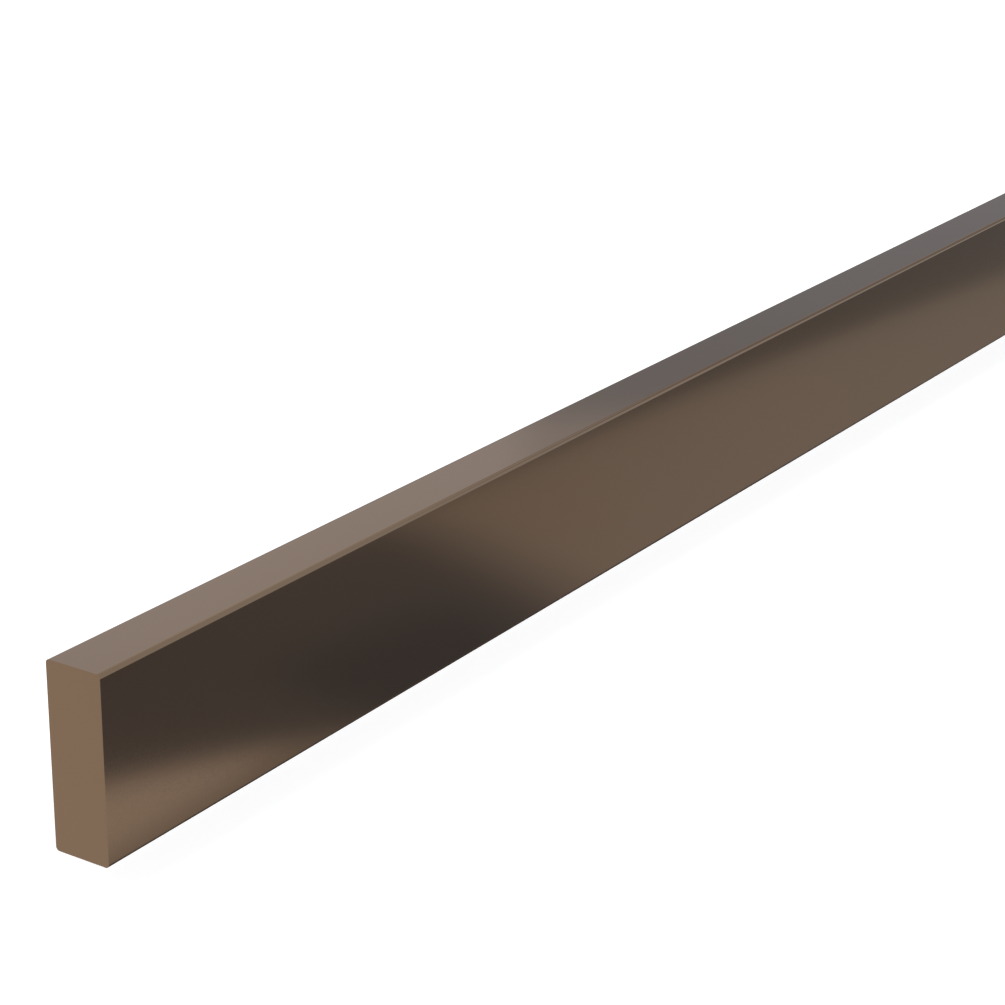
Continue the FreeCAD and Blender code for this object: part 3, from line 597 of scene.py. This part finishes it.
def studio_light(tree, plain):
    """The areas laid over the plain light of the room."""
    direction = add(tree, "ShaderNodeTexCoord").outputs["Generated"]
    axes = add(tree, "ShaderNodeSeparateXYZ")
    tree.links.new(direction, axes.inputs[0])
    x, y, z = axes.outputs
    in_degrees = 180 / math.pi
    heading = math_node(tree, "ARCTAN2", math_node(tree, "MULTIPLY", y, -1), x)
    azimuth = math_node(tree, "MULTIPLY", heading, in_degrees)
    elevation = math_node(tree, "MULTIPLY", math_node(tree, "ARCSINE", z), in_degrees)
    colour = plain
    for azimuths, side_soft, elevations, level_soft, rise, lean, light in AREAS.values():
        past_middle = math_node(tree, "SUBTRACT", azimuth, sum(azimuths) / 2)
        level = math_node(tree, "SUBTRACT", elevation,
                          math_node(tree, "MULTIPLY", past_middle, rise))
        above_middle = math_node(tree, "SUBTRACT", elevation, sum(elevations) / 2)
        side = math_node(tree, "SUBTRACT", azimuth,
                         math_node(tree, "MULTIPLY", above_middle, lean))
        mask = None
        for value, limits, soft in ((side, azimuths, side_soft), (level, elevations, level_soft)):
            for edge, inner in zip(limits, (1, -1)):
                part = remap(tree, value, edge - soft * inner, edge + soft * inner, 0, 1,
                             smooth=True)
                mask = math_node(tree, "MULTIPLY", mask, part) if mask else part
        colour = mix_colour(tree, mask, colour, light)
    return colour


def make_world():
    """White for the camera, and for the rest the studio's areas over a plain room."""
    world = bpy.data.worlds.new("studio")
    world.use_nodes = True
    bpy.context.scene.world = world
    tree = world.node_tree
    direct, shown = ray_masks(tree)
    plain = mix_colour(tree, shown, ROOM_LIGHT, WHITE)
    colour = mix_colour(tree, direct, studio_light(tree, plain), WHITE)
    tree.links.new(colour, tree.nodes["Background"].inputs["Color"])


FLOOR_GAP = 9.6 * MM
FLOOR_SIZE = 40
FLOOR_SHADE = 0.8
FLOOR_ROUGHNESS = 0.9
FLOOR_GLOW = 0.5


def make_floor():
    """Pale floor just under where the seal reaches when it is down, clear from below. The metal
    mirrors the studio instead."""
    bpy.ops.mesh.primitive_plane_add(size=FLOOR_SIZE, location=(0, 0, cad_box[0][2] - FLOOR_GAP))
    floor = bpy.context.object
    floor.name = "floor"
    floor.visible_glossy = False
    surface = bpy.data.materials.new("floor")
    surface.use_nodes = True
    tree = surface.node_tree
    shader = tree.nodes["Principled BSDF"]
    shader.inputs["Roughness"].default_value = FLOOR_ROUGHNESS
    shader.inputs["Specular IOR Level"].default_value = 0.0
    shader.inputs["Base Color"].default_value = (FLOOR_SHADE, FLOOR_SHADE, FLOOR_SHADE, 1)
    shader.inputs["Emission Color"].default_value = (*WHITE, 1)
    _, shown = ray_masks(tree)
    glow = math_node(tree, "MULTIPLY", shown, FLOOR_GLOW)
    tree.links.new(glow, shader.inputs["Emission Strength"])
    one_sided = add(tree, "ShaderNodeMixShader")
    backfacing = add(tree, "ShaderNodeNewGeometry").outputs["Backfacing"]
    tree.links.new(backfacing, one_sided.inputs["Fac"])
    tree.links.new(shader.outputs[0], one_sided.inputs[1])
    tree.links.new(add(tree, "ShaderNodeBsdfTransparent").outputs[0], one_sided.inputs[2])
    tree.links.new(one_sided.outputs[0], tree.nodes["Material Output"].inputs["Surface"])
    floor.data.materials.append(surface)


# name: place, width, power in watts
LAMPS = {
    "key": ((-1.6, -2.4, 2.6), 1.6, 28),
    "fill": ((-1.2, 2.0, 3.0), 1.8, 12),
}


def make_lamps():
    """Round soft boxes above the bar, aimed at its middle."""
    target = (cad_box[0] + cad_box[1]) / 2
    for name, (place, width, power) in LAMPS.items():
        lamp = bpy.data.lights.new(name, "AREA")
        lamp.shape = "DISK"
        lamp.size = width
        lamp.energy = power
        holder = bpy.data.objects.new(name, lamp)
        bpy.context.collection.objects.link(holder)
        holder.location = place
        holder.rotation_euler = (target - Vector(place)).to_track_quat("-Z", "Y").to_euler()


# ---------------------------------------------------------------- camera

# The camera stands near the front of the bar's -X end: its place from the bar's near bottom
# corner in housing heights, its heading from +Y towards +X, its downward tilt and its roll. Lens
# and sensor width are in millimetres.
CAMERA_PLACE = (-8.081, -7.493, 5.945)
CAMERA_HEADING = 56.74
CAMERA_TILT = 20.58
CAMERA_ROLL = 0.61
CAMERA_LENS = 93.3
CAMERA_SENSOR = 36


def make_camera():
    """The photo's view of the bar."""
    low, high = cad_box
    place = low + Vector(CAMERA_PLACE) * (high.z - low.z)
    heading, tilt, roll = (math.radians(a) for a in (CAMERA_HEADING, CAMERA_TILT, CAMERA_ROLL))
    forward = Vector((math.sin(heading) * math.cos(tilt), math.cos(heading) * math.cos(tilt),
                      -math.sin(tilt)))
    level_right = Vector((math.cos(heading), -math.sin(heading), 0))
    level_up = level_right.cross(forward)
    right = math.cos(roll) * level_right + math.sin(roll) * level_up
    up = math.cos(roll) * level_up - math.sin(roll) * level_right
    data = bpy.data.cameras.new("camera")
    data.lens = CAMERA_LENS
    data.sensor_width = CAMERA_SENSOR
    camera = bpy.data.objects.new("camera", data)
    bpy.context.collection.objects.link(camera)
    turn = Matrix((right, up, -forward)).transposed().to_4x4()
    camera.matrix_world = Matrix.Translation(place) @ turn
    bpy.context.scene.camera = camera


# ---------------------------------------------------------------- the scene

bpy.context.scene.view_settings.view_transform = "Standard"
finish_nodes()
make_seal()
for number in (1, 2):
    make_leaf_spring(number)
make_adjusting_screw()
make_world()
make_floor()
make_lamps()
make_camera()
